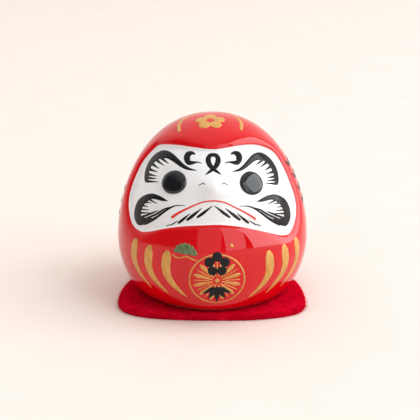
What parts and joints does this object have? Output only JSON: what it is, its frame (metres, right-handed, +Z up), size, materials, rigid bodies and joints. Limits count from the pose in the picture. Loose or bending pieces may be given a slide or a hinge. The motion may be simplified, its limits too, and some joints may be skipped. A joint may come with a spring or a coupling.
{
  "type": "daruma doll",
  "caption": "Round ceramic daruma doll with a recessed white face, raised eyes and enamel brushwork, standing on a loose felt mat.",
  "frame": {"origin": "on the surface it stands on, under the middle of the mat and of the doll", "axes": "+Z up, the face looks along -Y, +X is to the viewer's right"},
  "size_m": [0.07, 0.0702, 0.0681],
  "materials": {
    "felt": "pressed wool felt, matt",
    "bisque_clay": "unglazed fired clay",
    "red_glaze": "high gloss glaze",
    "white_glaze": "high gloss glaze",
    "eye_glaze": "high gloss glaze, domed",
    "black_enamel": "fired brush enamel, satin",
    "red_enamel": "fired brush enamel",
    "gold_enamel": "fired gold-ochre enamel, slight metallic sheen",
    "green_enamel": "fired brush enamel"
  },
  "bodies": {
    "mat": {"felt_mat": "felt"},
    "doll": {"clay_body": "bisque_clay", "red_glaze": "red_glaze", "white_face": "white_glaze", "left_eye": "eye_glaze", "right_eye": "eye_glaze", "left_brow": "black_enamel", "right_brow": "black_enamel", "left_forehead_curl": "black_enamel", "right_forehead_curl": "black_enamel", "forehead_loop": "black_enamel", "nostril_marks": "black_enamel", "mouth_line": "red_enamel", "left_cheek_whisker": "black_enamel", "right_cheek_whisker": "black_enamel", "left_beard_strokes": "black_enamel", "right_beard_strokes": "black_enamel", "left_robe_fold_1": "gold_enamel", "left_robe_fold_2": "gold_enamel", "left_robe_fold_3": "gold_enamel", "right_robe_fold_1": "gold_enamel", "right_robe_fold_2": "gold_enamel", "right_robe_fold_3": "gold_enamel", "roundel_ring": "gold_enamel", "roundel_petals_gold": "gold_enamel", "roundel_centre": "gold_enamel", "pine_needles": "green_enamel", "pine_twig": "gold_enamel", "gold_fleck": "gold_enamel", "plum_blossom": "black_enamel", "bamboo_leaves": "black_enamel", "left_crown_arc": "gold_enamel", "right_crown_arc": "gold_enamel", "crown_blossom": "gold_enamel", "left_side_leaves": "black_enamel", "right_side_leaves": "black_enamel"}
  },
  "joints": [
    {"name": "doll_lift", "type": "slide", "parent": "mat", "child": "doll", "axis": [0, 0, 1], "range_m": [0, 0.04]}
  ]
}
